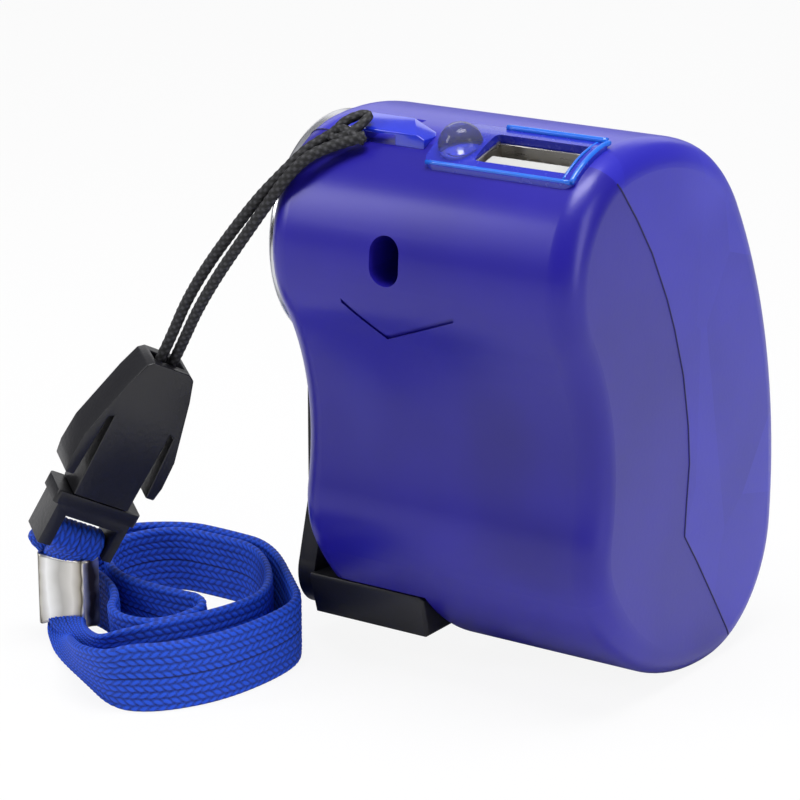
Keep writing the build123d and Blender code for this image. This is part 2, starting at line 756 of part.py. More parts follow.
def band_station(low, high, ahead):
    """Cross-section of the band between its two edge points, square to the way ahead."""
    low, high = Vector(*low), Vector(*high)
    across = (high - low).normalized()
    face = across.cross(Vector(*ahead)).normalized()
    mid = (low + high) * 0.5 + Vector(0, 0, floor)
    return Plane(origin=mid, x_dir=across, z_dir=face.cross(across))


def band_through(stations):
    sections = []
    for low, high, ahead in stations:
        with BuildSketch(band_station(low, high, ahead)) as section:
            Rectangle(strap_w, strap_t)
        sections.append(section.sketch)
    loft(sections, ruled=True)


def band_on_edge(points, radii, label):
    with BuildLine(Plane.XY.offset(floor + strap_w / 2)) as route:
        FilletPolyline(*points, radius=radii)
    start = Plane(origin=route.line @ 0, x_dir=(0, 0, 1), z_dir=route.line % 0)
    with BuildSketch(start) as section:
        Rectangle(strap_w, strap_t)
    sweep(section.sketch, path=route.line)
    length = sum(edge.length for edge in route.edges())
    print(label, "length", round(length, 1), "radii", radii)


front_run = [(-26.6, -42.4), (-22.4, -35.5), (-21.2, -26.0), (-22.2, -19.6), (-31.5, -10.6)]
front_radii = [18.0, 22.0, 5.0]
outer_run = [(-31.5, -10.6), (-37.28, -5.0), (-52.5, -4.6), (-60.4, -12.0), (-57.0, -23.0),
             (-46.4, -26.0), (-41.8, -33.4), (-32.2, -36.6), (-30.2, -27.26), (-34.0, -26.4)]
outer_radii = [5.0, 10.0, 6.0, 6.0, 5.0, 8.0, 3.4, 2.4]
inner_run = [(-34.0, -26.4), (-50.8, -22.6), (-56.6, -16.2), (-53.0, -7.0), (-37.6, -7.0),
             (-27.2, -18.6), (-27.4, -27.4), (-31.4, -36.6)]
inner_radii = [6.0, 5.0, 6.0, 9.0, 12.0, 14.0]

with BuildPart() as strap_front:
    band_on_edge(front_run, front_radii, "front strap")

with BuildPart() as strap_front_end:
    band_through([
        ((-57.15, -28.55, 2.1), (-48.15, -28.55, 2.1), (0, 0, -1)),
        ((-56.6, -31.0, 0.75), (-48.0, -32.2, 0.75), (0.1, -1, -0.2)),
        ((-51.3, -34.6, 0.6), (-45.0, -38.3, 4.8), (0.5, -0.8, 0)),
        ((-46.4, -37.6, 0.55), (-41.3, -42.2, 6.1), (0.8, -0.5, 0)),
        ((-39.5, -41.2, 0.4), (-37.1, -45.9, 7.3), (0.85, -0.5, 0)),
        ((-33.2, -44.9, 0.25), (-31.3, -47.6, 8.5), (0.95, -0.1, 0)),
        ((-29.7, -45.0, 0.15), (-28.6, -46.0, 9.1), (0.9, 0.35, 0)),
        ((-26.6, -42.4, 0.0), (-26.6, -42.4, 9.0), (4.2, 6.9, 0)),
    ])

with BuildPart() as strap_outer:
    band_on_edge(outer_run, outer_radii, "outer strap")

with BuildPart() as strap_inner:
    band_on_edge(inner_run, inner_radii, "inner strap")

with BuildPart() as strap_inner_end:
    band_through([
        ((-57.15, -29.85, 2.1), (-48.15, -29.85, 2.1), (0, 0, -1)),
        ((-55.4, -31.0, 2.4), (-47.2, -31.6, 4.2), (0.4, -0.9, -0.1)),
        ((-47.6, -34.6, 1.4), (-41.8, -38.0, 5.6), (0.85, -0.5, 0)),
        ((-39.6, -39.0, 0.6), (-36.9, -42.0, 7.6), (0.85, -0.3, 0)),
        ((-34.4, -39.6, 0.25), (-34.0, -40.6, 8.8), (0.9, 0.4, 0)),
        ((-31.4, -36.6, 0.0), (-31.4, -36.6, 9.0), (4.0, 9.2, 0)),
    ])

# the closed end of the strap passes through the clamp and over the bar of the buckle
fold_w = 6.2
bar_mid = Vector(*buckle_at) + Vector(*buckle_side) * 0.3 - Vector(*buckle_up) * 6.1
out_dir = Vector(*buckle_out)
up_dir = Vector(*buckle_up)


def fold_plane(at, across, ahead):
    across, ahead = Vector(*across), Vector(*ahead)
    square = ahead - across * (ahead.dot(across) / across.dot(across))
    return Plane(origin=at, x_dir=across, z_dir=square)


with BuildPart() as strap_ends:
    for layer_y in (-29.85, -28.55):
        with Locations((clamp_at[0], layer_y, (clamp_z0 + clamp_z1) / 2)):
            Box(strap_w, strap_t, clamp_z1 - clamp_z0)

wrap_plane = Plane(origin=bar_mid, x_dir=out_dir, z_dir=Vector(*buckle_side) * -1)
wrap_side = 1.45
wrap_top = 1.4
wrap_low = -0.9
with BuildPart() as strap_fold:
    with BuildLine(wrap_plane) as wrap:
        FilletPolyline((wrap_side, wrap_low), (wrap_side, wrap_top), (-wrap_side, wrap_top),
                       (-wrap_side, wrap_low), radius=1.0)
    with BuildSketch(Plane(origin=wrap.line @ 0, x_dir=buckle_side, z_dir=wrap.line % 0)):
        Rectangle(fold_w, strap_t)
    sweep(path=wrap.line)

with BuildPart() as strap_link:
    for start, layer_y in ((wrap.line @ 0, -29.85), (wrap.line @ 1, -28.55)):
        with BuildSketch(fold_plane(start, buckle_side, up_dir * -1)) as upper:
            Rectangle(fold_w, strap_t)
        with BuildSketch(fold_plane((clamp_at[0], layer_y, clamp_z1), (1, 0, 0),
                                    (0, 0, -1))) as lower:
            Rectangle(fold_w, strap_t)
        loft([upper.sketch, lower.sketch], ruled=True)
print("fold volume", strap_fold.part.volume, "link", strap_link.part.volume)

# ---- write every piece in the shared frame ----
pieces = {
    "housing_front": housing_front, "housing_rear": housing_rear, "usb_bezel": usb_bezel,
    "lanyard_eye": lanyard_eye, "usb_shell": usb_shell, "usb_tongue": usb_tongue,
    "usb_contacts": usb_contacts, "led_lamp": led_lamp, "led_leads": led_leads,
    "circuit_board": circuit_board, "capacitor": capacitor, "diodes": diodes,
    "regulator": regulator, "gear_plate_outer": gear_plate_outer,
    "gear_plate_inner": gear_plate_inner, "plate_pillars": plate_pillars,
    "idler_axles": idler_axles, "idler_wheel_a": idler_wheel_a,
    "idler_wheel_b": idler_wheel_b, "dynamo_can": dynamo_can,
    "dynamo_magnet": dynamo_magnet, "dynamo_cap": dynamo_cap,
    "dynamo_rotor": dynamo_rotor, "dynamo_shaft": dynamo_shaft,
    "dynamo_pinion": dynamo_pinion, "crank_hub": crank_hub, "crank_shaft": crank_shaft,
    "crank_gear": crank_gear, "crank_arm": crank_arm_drilled, "fold_pin": fold_pin,
    "crank_handle": crank_handle_drilled, "handle_pin": handle_pin,
    "housing_screws": housing_screws, "buckle_socket": buckle_socket,
    "buckle_plug": buckle_plug, "strap_clamp": strap_clamp, "lanyard_cord": lanyard_cord,
    "strap_front": strap_front, "strap_outer": strap_outer, "strap_inner": strap_inner,
    "strap_fold": strap_fold, "strap_ends": strap_ends,
    "strap_link": strap_link,
    "strap_front_end": strap_front_end, "strap_inner_end": strap_inner_end,
}
soft_side = ["buckle_socket", "buckle_plug", "strap_clamp", "lanyard_cord", "strap_front",
             "strap_outer", "strap_inner", "strap_fold", "strap_ends", "strap_link", "strap_front_end",
             "strap_inner_end"]
boxes = [pieces[name].part.bounding_box() for name in pieces if name not in soft_side]
mid_x = (min(box.min.X for box in boxes) + max(box.max.X for box in boxes)) / 2
mid_y = (min(box.min.Y for box in boxes) + max(box.max.Y for box in boxes)) / 2
print("moved by", round(-mid_x, 3), round(-mid_y, 3), -foot_cut)

for name, piece in pieces.items():
    solid = piece.part.moved(Location((-mid_x, -mid_y, -foot_cut)))
    solid.label = name
    export_step(solid, "parts/" + name + ".step")
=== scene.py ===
import bpy
import bmesh
import math
from mathutils import Vector, Matrix


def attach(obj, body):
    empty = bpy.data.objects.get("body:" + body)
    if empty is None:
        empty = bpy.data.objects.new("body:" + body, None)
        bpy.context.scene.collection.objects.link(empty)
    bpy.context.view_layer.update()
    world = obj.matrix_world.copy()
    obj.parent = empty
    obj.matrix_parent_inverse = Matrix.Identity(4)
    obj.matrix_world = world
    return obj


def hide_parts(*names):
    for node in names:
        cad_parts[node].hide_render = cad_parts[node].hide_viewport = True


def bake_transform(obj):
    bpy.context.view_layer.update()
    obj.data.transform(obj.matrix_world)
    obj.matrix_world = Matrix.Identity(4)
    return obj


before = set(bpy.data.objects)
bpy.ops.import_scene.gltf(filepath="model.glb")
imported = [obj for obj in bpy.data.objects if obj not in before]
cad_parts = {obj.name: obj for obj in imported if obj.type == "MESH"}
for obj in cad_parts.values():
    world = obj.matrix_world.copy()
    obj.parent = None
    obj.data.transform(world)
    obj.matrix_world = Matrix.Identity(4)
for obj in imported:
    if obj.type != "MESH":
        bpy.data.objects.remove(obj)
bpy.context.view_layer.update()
scene = bpy.context.scene
print("frame loaded")

mm = 0.001
shift = Vector((3.25, 0.016, -0.5))


def at(x, y, z):
    return (Vector((x, y, z)) + shift) * mm


def onFloor(x, y, z):
    return Vector((x + shift.x, y + shift.y, z)) * mm


# helpers that build shader nodes
def newMaterial(name):
    mat = bpy.data.materials.new(name)
    mat.use_nodes = True
    nodes = mat.node_tree.nodes
    return mat, nodes, mat.node_tree.links, nodes["Principled BSDF"]


def coords(nodes, links, scale=(1, 1, 1)):
    source = nodes.new("ShaderNodeTexCoord")
    mapping = nodes.new("ShaderNodeMapping")
    mapping.inputs["Scale"].default_value = scale
    links.new(source.outputs["Object"], mapping.inputs["Vector"])
    return mapping.outputs["Vector"]


def noiseTex(nodes, links, vector, scale, detail=3.0):
    tex = nodes.new("ShaderNodeTexNoise")
    tex.inputs["Scale"].default_value = scale
    tex.inputs["Detail"].default_value = detail
    links.new(vector, tex.inputs["Vector"])
    return tex.outputs["Fac"]


def ramp(nodes, links, value, stops):
    node = nodes.new("ShaderNodeValToRGB")
    band = node.color_ramp
    band.elements[0].position, band.elements[0].color = stops[0][0], (*stops[0][1], 1)
    band.elements[1].position, band.elements[1].color = stops[-1][0], (*stops[-1][1], 1)
    for place, colour in stops[1:-1]:
        band.elements.new(place).color = (*colour, 1)
    links.new(value, node.inputs["Fac"])
    return node.outputs["Color"]


def remap(nodes, links, value, low, high):
    span = nodes.new("ShaderNodeMapRange")
    span.inputs["To Min"].default_value = low
    span.inputs["To Max"].default_value = high
    links.new(value, span.inputs["Value"])
    return span.outputs["Result"]


def times(nodes, links, value, factor, plus=None):
    node = nodes.new("ShaderNodeMath")
    node.operation = "MULTIPLY_ADD" if plus is not None else "MULTIPLY"
    node.inputs[1].default_value = factor
    links.new(value, node.inputs[0])
    if plus is not None:
        links.new(plus, node.inputs[2])
    return node.outputs["Value"]


def addBump(nodes, links, shader, height, strength, distance):
    bump = nodes.new("ShaderNodeBump")
    bump.inputs["Strength"].default_value = strength
    bump.inputs["Distance"].default_value = distance
    links.new(height, bump.inputs["Height"])
    links.new(bump.outputs["Normal"], shader.inputs["Normal"])


def plastic(name, low, high, rough, grain=900.0, strength=0.06, coat=0.0):
    mat, nodes, links, shader = newMaterial(name)
    vector = coords(nodes, links)
    cloud = noiseTex(nodes, links, vector, 45.0)
    links.new(ramp(nodes, links, cloud, [(0.3, low), (0.7, high)]), shader.inputs["Base Color"])
    fine = noiseTex(nodes, links, vector, grain, 4.0)
    links.new(remap(nodes, links, fine, rough - 0.05, rough + 0.07), shader.inputs["Roughness"])
    addBump(nodes, links, shader, fine, strength, 0.0001)
    shader.inputs["Coat Weight"].default_value = coat
    shader.inputs["Coat Roughness"].default_value = 0.12
    shader.inputs["Specular IOR Level"].default_value = 0.5
    return mat


def metal(name, colour, rough, stretch=(1, 1, 1), grain=300.0):
    mat, nodes, links, shader = newMaterial(name)
    vector = coords(nodes, links, stretch)
    fine = noiseTex(nodes, links, vector, grain, 4.0)
    dark = tuple(c * 0.86 for c in colour)
    links.new(ramp(nodes, links, fine, [(0.3, dark), (0.65, colour)]),
              shader.inputs["Base Color"])
    shader.inputs["Metallic"].default_value = 1.0
    links.new(remap(nodes, links, fine, rough, rough + 0.12), shader.inputs["Roughness"])
    addBump(nodes, links, shader, fine, 0.05, 0.00005)
    return mat


def vectorStep(nodes, links, value, operation, by):
    node = nodes.new("ShaderNodeVectorMath")
    node.operation = operation
    node.inputs[1].default_value = by
    links.new(value, node.inputs[0])
    return node


def blob(nodes, links, vector, centre, stretch, edge):
    # 1 near a point and 0 away from it, soft between
    away = vectorStep(nodes, links, vector, "SUBTRACT", centre).outputs["Vector"]
    scaled = vectorStep(nodes, links, away, "DIVIDE", stretch).outputs["Vector"]
    reach = nodes.new("ShaderNodeVectorMath")
    reach.operation = "LENGTH"
    links.new(scaled, reach.inputs[0])
    span = nodes.new("ShaderNodeMapRange")
    span.interpolation_type = "SMOOTHERSTEP"
    span.inputs["From Min"].default_value = edge
    span.inputs["From Max"].default_value = 1.0
    span.inputs["To Min"].default_value = 1.0
    span.inputs["To Max"].default_value = 0.0
    links.new(reach.outputs["Value"], span.inputs["Value"])
    return span.outputs["Result"]


def mixColour(nodes, links, factor, under, over):
    # inputs 6 and 7 and output 2 of a mix node are its colours
    node = nodes.new("ShaderNodeMix")
    node.data_type = "RGBA"
    links.new(factor, node.inputs[0])
    links.new(under, node.inputs[6])
    node.inputs[7].default_value = (*over, 1)
    return node.outputs[2]


facetShare = 0.42
facetScale = (0.1, 1.0, 0.62)


def bodyPlastic(name, low, high, smudges, facets):
    # deep ultramarine, a little milky; what lies inside shows as soft smudges
    mat, nodes, links, shader = newMaterial(name)
    vector = coords(nodes, links)
    cloud = noiseTex(nodes, links, vector, 38.0, 3.0)
    colour = ramp(nodes, links, cloud, [(0.32, low), (0.68, high)])
    if facets:
        cells = nodes.new("ShaderNodeTexVoronoi")
        cells.inputs["Scale"].default_value = 62.0
        cells.inputs["Randomness"].default_value = 1.0
        links.new(coords(nodes, links, facetScale), cells.inputs["Vector"])
        tone = nodes.new("ShaderNodeSeparateColor")
        links.new(cells.outputs["Color"], tone.inputs["Color"])
        share = remap(nodes, links, tone.outputs["Red"], 0.0, facetShare)
        colour = mixColour(nodes, links, share, colour, facets)
    for centre, stretch, edge, over, share in smudges:
        soft = blob(nodes, links, vector, centre, stretch, edge)
        colour = mixColour(nodes, links, times(nodes, links, soft, share), colour, over)
    links.new(colour, shader.inputs["Base Color"])
    fine = noiseTex(nodes, links, vector, 1500.0, 4.0)
    addBump(nodes, links, shader, fine, 0.08, 0.0001)
    shader.inputs["Roughness"].default_value = 0.34
    shader.inputs["Specular IOR Level"].default_value = 0.5
    shader.inputs["Specular Tint"].default_value = (0.75, 0.72, 1.0, 1)
    shader.inputs["Coat Weight"].default_value = 0.12
    shader.inputs["Coat Roughness"].default_value = 0.2
    return mat


def braidMaterial(name, deep, bright, rough, fuzz):
    # woven yarn: painted shade, darker towards the weave's valleys, from the height attribute
    mat, nodes, links, shader = newMaterial(name)
    height = nodes.new("ShaderNodeAttribute")
    height.attribute_name = "yarn"
    vector = coords(nodes, links)
    fine = noiseTex(nodes, links, vector, 5200.0, 2.0)
    mix = times(nodes, links, fine, 0.30, plus=height.outputs["Fac"])
    middle = tuple((a + b) / 2 for a, b in zip(deep, bright))
    # painted shade: low yarn heights get the deep colour, crests the bright one
    links.new(ramp(nodes, links, mix,
                   [(0.38, deep), (0.78, middle), (1.05, bright)]),
              shader.inputs["Base Color"])
    shader.inputs["Roughness"].default_value = rough
    shader.inputs["Sheen Weight"].default_value = fuzz
    shader.inputs["Sheen Roughness"].default_value = 0.4
    shader.inputs["Sheen Tint"].default_value = (*bright, 1)
    addBump(nodes, links, shader, fine, 0.35, 0.0001)
    return mat


clamp = {"wide": 8.0, "deep": 3.5, "wall": 0.4, "low": 2.5, "high": 11.9,
         "centre": (-52.65, -29.2), "turn": math.radians(8), "ring": 72, "levels": 26,
         "squareWide": 0.32, "squareDeep": 0.42, "lipRise": 0.35, "lipWave": 0.55,
         "lipTurns": 1.15, "lipStart": 0.6, "topWave": 0.25, "topTurns": 0.6,
         "ridgeFrom": 0.62, "ridge": 0.28,
         # reflection keys place the painted reflection bands across the clamp
         "reflectionFrom": -56.7, "reflectionShift": 0.0008, "reflectionWide": 8.1, "reflectionWobble": 0.0016}


def clampMetal():
    # bright rolled sheet: painted reflections, streaks of light and dark along its width
    mat, nodes, links, shader = newMaterial("clampSilver")
    vector = coords(nodes, links)
    split = nodes.new("ShaderNodeSeparateXYZ")
    links.new(vector, split.inputs["Vector"])
    wobble = noiseTex(nodes, links, vector, 210.0, 2.0)
    spot = times(nodes, links, wobble, clamp["reflectionWobble"], plus=split.outputs["X"])
    span = nodes.new("ShaderNodeMapRange")
    left = at(clamp["reflectionFrom"], 0, 0).x + clamp["reflectionShift"]
    span.inputs["From Min"].default_value = left
    span.inputs["From Max"].default_value = left + clamp["reflectionWide"] * mm
    links.new(spot, span.inputs["Value"])
    # painted reflection: light and dark bands laid into the base colour across the clamp's width
    tone = ramp(nodes, links, span.outputs["Result"],
                [(0.0, (0.08, 0.07, 0.05)), (0.07, (0.86, 0.84, 0.76)),
                 (0.12, (0.07, 0.06, 0.04)), (0.16, (0.50, 0.48, 0.43)),
                 (0.28, (0.92, 0.92, 0.90)), (0.50, (0.46, 0.45, 0.42)),
                 (0.70, (0.70, 0.68, 0.63)), (0.86, (0.30, 0.27, 0.22)),
                 (0.90, (0.06, 0.05, 0.03)), (0.94, (0.90, 0.86, 0.76)),
                 (1.0, (0.08, 0.06, 0.04))])
    links.new(tone, shader.inputs["Base Color"])
    speckle = noiseTex(nodes, links, vector, 1900.0, 4.0)
    addBump(nodes, links, shader, speckle, 0.12, 0.0001)
    shader.inputs["Metallic"].default_value = 0.75
    shader.inputs["Roughness"].default_value = 0.3
    return mat


def clearLens():
    mat, nodes, links, shader = newMaterial("lampClear")
    vector = coords(nodes, links)
    fine = noiseTex(nodes, links, vector, 260.0, 2.0)
    links.new(ramp(nodes, links, fine, [(0.2, (0.80, 0.83, 0.97)), (0.8, (0.90, 0.92, 1.0))]),
              shader.inputs["Base Color"])
    shader.inputs["Roughness"].default_value = 0.02
    shader.inputs["Transmission Weight"].default_value = 0.93
    shader.inputs["IOR"].default_value = 1.28
    return mat


shadeDark = (0.006, 0.003, 0.10)
shadeLight = (0.075, 0.075, 0.62)
bodyBlue = bodyPlastic(
    "bodyBlue", (0.011, 0.007, 0.25), (0.019, 0.012, 0.34),
    [(at(6.0, -16.0, 50.0), (0.006, 0.010, 0.007), 0.1, shadeDark, 0.45),
     (at(8.0, -17.0, 36.0), (0.009, 0.012, 0.016), 0.1, shadeDark, 0.35),
     (at(-12.0, -17.0, 40.0), (0.006, 0.010, 0.020), 0.1, shadeLight, 0.10),
     (at(14.0, -20.0, 22.0), (0.014, 0.014, 0.008), 0.1, shadeDark, 0.30)], None)
panelBlue = bodyPlastic(
    "panelBlue", (0.013, 0.010, 0.33), (0.024, 0.019, 0.45),
    [(at(22.0, 6.0, 66.0), (0.012, 0.012, 0.010), 0.1, shadeLight, 0.30)],
    (0.04, 0.04, 0.58))
rimBlue = plastic("rimBlue", (0.012, 0.014, 0.34), (0.018, 0.030, 0.50), 0.25, coat=0.3)
# painted highlight colour for the bright bars along the outlet's rim
rimHighlightAzure = plastic("rimHighlightAzure", (0.006, 0.09, 0.62), (0.012, 0.17, 0.80), 0.2, coat=0.5)
eyeBlue = plastic("eyeBlue", (0.008, 0.018, 0.50), (0.014, 0.040, 0.68), 0.14, coat=0.8)
blackPlastic = plastic("blackPlastic", (0.006, 0.006, 0.008), (0.014, 0.014, 0.016), 0.42,
                       grain=1300.0, strength=0.25)
buckleBlack = plastic("buckleBlack", (0.006, 0.006, 0.008), (0.012, 0.012, 0.015), 0.34,
                      grain=1800.0, strength=0.35)
whitePlastic = plastic("whitePlastic", (0.48, 0.48, 0.46), (0.58, 0.58, 0.56), 0.38)
boardGreen = plastic("boardGreen", (0.01, 0.10, 0.04), (0.02, 0.16, 0.06), 0.4)
socketSteel = metal("socketSteel", (0.50, 0.48, 0.45), 0.22, (1, 1, 6))
contactBrass = metal("contactBrass", (0.85, 0.62, 0.28), 0.25)
magnetDark = metal("magnetDark", (0.16, 0.16, 0.17), 0.5)
silverPlastic = metal("silverPlastic", (0.66, 0.67, 0.70), 0.22, (4, 1, 1))
clampSilver = clampMetal()
# the deep colours are painted shade in the weave's valleys
strapYarn = braidMaterial("strapYarn", (0.0006, 0.005, 0.075), (0.006, 0.085, 0.72), 0.75, 0.06)
cordYarn = braidMaterial("cordYarn", (0.004, 0.004, 0.005), (0.055, 0.055, 0.062), 0.7, 0.3)
lampClear = clearLens()
seamDark = plastic("seamDark", (0.004, 0.002, 0.07), (0.008, 0.004, 0.10), 0.5)

looks = {
    "housing_front": bodyBlue, "housing_rear": panelBlue, "lanyard_eye": rimBlue,
    "usb_bezel": rimBlue, "usb_shell": socketSteel, "usb_tongue": whitePlastic,
    "usb_contacts": contactBrass, "led_lamp": lampClear, "led_leads": socketSteel,
    "circuit_board": boardGreen, "capacitor": blackPlastic, "diodes": blackPlastic,
    "regulator": blackPlastic, "gear_plate_outer": whitePlastic,
    "gear_plate_inner": whitePlastic, "plate_pillars": socketSteel,
    "idler_axles": socketSteel, "idler_wheel_a": whitePlastic,
    "idler_wheel_b": whitePlastic, "dynamo_can": socketSteel, "dynamo_magnet": magnetDark,
    "dynamo_cap": whitePlastic, "dynamo_rotor": magnetDark, "dynamo_shaft": socketSteel,
    "dynamo_pinion": contactBrass, "crank_hub": silverPlastic, "crank_shaft": socketSteel,
    "crank_gear": whitePlastic, "crank_arm": blackPlastic, "fold_pin": socketSteel,
    "crank_handle": blackPlastic, "handle_pin": socketSteel,
    "housing_screws": socketSteel, "buckle_socket": buckleBlack,
    "buckle_plug": buckleBlack, "strap_clamp": clampSilver,
}
for name, mat in looks.items():
    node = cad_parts[name]
    node.data.materials.clear()
    node.data.materials.append(mat)
print("materials set")


# helpers that build meshes
def meshPiece(name, verts, faces, mat, body="housing"):
    data = bpy.data.meshes.new(name)
    data.from_pydata([tuple(v) for v in verts], [], faces)
    data.update()
    piece = bpy.data.objects.new(name, data)
    scene.collection.objects.link(piece)
    data.materials.append(mat)
    for poly in data.polygons:
        poly.use_smooth = True
    build = bmesh.new()
    build.from_mesh(data)
    bmesh.ops.recalc_face_normals(build, faces=build.faces)
    build.to_mesh(data)
    build.free()
    if body:
        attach(piece, body)
    return piece


def lineLength(points):
    return sum((b - a).length for a, b in zip(points, points[1:]))


def resample(points, count):
    # the same line in count even steps
    lengths = [0.0]
    for a, b in zip(points, points[1:]):
        lengths.append(lengths[-1] + (b - a).length)
    result, k = [], 0
    for i in range(count + 1):
        want = lengths[-1] * i / count
        while k < len(points) - 2 and lengths[k + 1] < want:
            k += 1
        part = (want - lengths[k]) / max(1e-9, lengths[k + 1] - lengths[k])
        result.append(points[k].lerp(points[k + 1], min(1.0, part)))
    return result


def splinePoints(points, step):
    # even steps along the NURBS spline of a listed route, and its length
    curve = bpy.data.curves.new("route", "CURVE")
    curve.dimensions = "3D"
    spline = curve.splines.new("NURBS")
    spline.points.add(len(points) - 1)
    for spot, p in zip(spline.points, points):
        spot.co = (*p, 1)
    spline.order_u = 3
    spline.use_endpoint_u = True
    curve.resolution_u = 24
    holder = bpy.data.objects.new("route", curve)
    scene.collection.objects.link(holder)
    bpy.context.view_layer.update()
    line = bpy.data.meshes.new_from_object(holder)
    raw = [v.co.copy() for v in line.vertices]
    bpy.data.objects.remove(holder)
    length = lineLength(raw)
    return resample(raw, max(4, round(length / step))), length


def ringFaces(rings, size, endStep=-1):
    # sides of a stack of rings, with a cap at each end; endStep is the last cap's order
    faces = []
    for i in range(rings - 1):
        for k in range(size):
            n = (k + 1) % size
            faces.append((i * size + k, i * size + n, (i + 1) * size + n, (i + 1) * size + k))
    faces.append(tuple(range(size)))
    faces.append(tuple((rings - 1) * size + k for k in range(size)[::endStep]))
    return faces


def tubeAlong(line, sides, reachAt):
    # capped round tube; reachAt(walked, angle) is its radius there
    verts, side, walked = [], None, 0.0
    for i, p in enumerate(line):
        before, after = line[max(0, i - 1)], line[min(len(line) - 1, i + 1)]
        ahead = (after - before).normalized()
        if side is None:
            side = ahead.orthogonal().normalized()
        side = (side - ahead * side.dot(ahead)).normalized()
        up = ahead.cross(side)
        walked += (p - before).length
        for k in range(sides):
            angle = 2 * math.pi * k / sides
            outward = side * math.cos(angle) + up * math.sin(angle)
            verts.append(p + outward * reachAt(walked, angle))
    return verts, ringFaces(len(line), sides)


def joined(parts):
    verts, faces = [], []
    for v, f in parts:
        start = len(verts)
        verts += v
        faces += [tuple(i + start for i in face) for face in f]
    return verts, faces


# strap: a flat braid that stands on its edge
strap = {"wide": 9.0, "half": 0.62 * mm, "edgeThin": 0.35, "valley": 0.58,
         "sample": 0.2 * mm, "ring": 0.22 * mm, "floorGap": 0.05, "across": 54,
         "tuckAcross": 44, "pathEvery": 6}
yarn = {"pitch": 1.1 * mm, "ribs": 10, "slant": 0.85, "selvedge": 0.93, "edgeRise": 0.62,
        "edgeWave": 0.2, "stitchLow": 0.35, "stitchRound": 0.6, "ribLow": 0.25,
        "ribRound": 0.5}


def yarnHeight(along, across):
    # flat braid: slanted stitches whose slant swaps from rib to rib
    if abs(across) > yarn["selvedge"]:
        wave = math.cos(2 * math.pi * along / yarn["pitch"])
        return yarn["edgeRise"] + yarn["edgeWave"] * wave
    place = (across + 1) / 2 * yarn["ribs"]
    rib = min(yarn["ribs"] - 1, int(place))
    local = place - rib - 0.5
    slant = 1 if rib % 2 else -1
    phase = along / yarn["pitch"] + slant * local * yarn["slant"] + 0.5 * (rib % 2)
    stitch = abs(math.cos(math.pi * phase)) ** yarn["stitchRound"]
    crown = max(0.0, 1 - (2 * local) ** 2) ** yarn["ribRound"]
    return ((yarn["stitchLow"] + (1 - yarn["stitchLow"]) * stitch)
            * (yarn["ribLow"] + (1 - yarn["ribLow"]) * crown))


def strapPiece(name, lowRoute, highRoute, nodes, acrossCount=strap["across"]):
    # braided flat strap between a lower and an upper edge route
    low, lowLength = splinePoints(lowRoute, strap["sample"])
    high, highLength = splinePoints(highRoute, strap["sample"])
    count = round(max(lowLength, highLength) / strap["ring"])
    low, high = resample(low, count), resample(high, count)
    middle = [(a + b) / 2 for a, b in zip(low, high)]
    verts, weaveShade = [], []
    walked = 0.0
    for i in range(count + 1):
        before, after = middle[max(0, i - 1)], middle[min(count, i + 1)]
        walked += (middle[i] - before).length
        across = (high[i] - low[i]).normalized()
        ahead = (after - before).normalized()
        face = across.cross(ahead).normalized()
        for side in (1, -1):
            for j in range(acrossCount + 1)[::side]:
                v = -1 + 2 * j / acrossCount
                rise = yarnHeight(walked, v)
                full = max(0.0, 1 - abs(v) ** 10) ** 0.5
                depth = (strap["half"] * (strap["edgeThin"] + (1 - strap["edgeThin"]) * full)
                         * (strap["valley"] + (1 - strap["valley"]) * rise))
                verts.append(low[i].lerp(high[i], (v + 1) / 2) + face * side * depth)
                weaveShade.append(rise)
    faces = ringFaces(count + 1, 2 * (acrossCount + 1))
    piece = meshPiece(name, verts, faces, strapYarn)
    # the yarn attribute feeds the painted shade in the weave's valleys
    piece.data.attributes.new("yarn", "FLOAT", "POINT").data.foreach_set("value", weaveShade)
    if nodes:
        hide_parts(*nodes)


def upright(points, lean):
    # edge routes of a strap on edge; lean moves the top at some points: x, y, height
    low = [onFloor(x, y, strap["floorGap"]) for x, y in points]
    high = []
    for k, (x, y) in enumerate(points):
        dx, dy, z = lean.get(k, (0.0, 0.0, strap["wide"]))
        high.append(onFloor(x + dx, y + dy, z))
    return low, high


frontRun = [(-29.7, -45.2), (-25.9, -42.2), (-22.4, -35.5), (-21.2, -26.0), (-22.2, -19.6),
            (-26.8, -15.1), (-31.5, -10.6)]
frontLow, frontHigh = upright(frontRun, {})
frontLow = [onFloor(-55.8, -28.9, 3.2), onFloor(-56.2, -30.0, 0.9), onFloor(-51.3, -34.6, 0.35),
            onFloor(-46.4, -37.6, 0.3), onFloor(-39.5, -41.2, 0.2),
            onFloor(-33.2, -44.9, 0.1)] + frontLow
frontHigh = [onFloor(-49.5, -28.1, 3.2), onFloor(-49.2, -32.0, 1.4), onFloor(-45.0, -38.3, 4.6),
             onFloor(-41.3, -42.4, 6.2), onFloor(-37.1, -45.9, 7.4),
             onFloor(-31.6, -47.6, 8.4)] + frontHigh
strapPiece("strapFront", frontLow, frontHigh, ["strap_front", "strap_front_end"])

outerRun = [(-31.5, -10.6), (-37.28, -5.0), (-45.0, -4.4), (-52.5, -4.6), (-60.4, -12.0),
            (-57.0, -23.0), (-46.4, -26.0), (-41.8, -33.4), (-32.2, -36.6), (-30.2, -27.26),
            (-34.0, -26.4)]
outerLow, outerHigh = upright(outerRun, {6: (0.6, -1.0, 7.6), 7: (-0.2, -1.4, 7.6),
                                         8: (0.0, 0.0, 8.6)})
strapPiece("strapOuter", outerLow, outerHigh, ["strap_outer"])

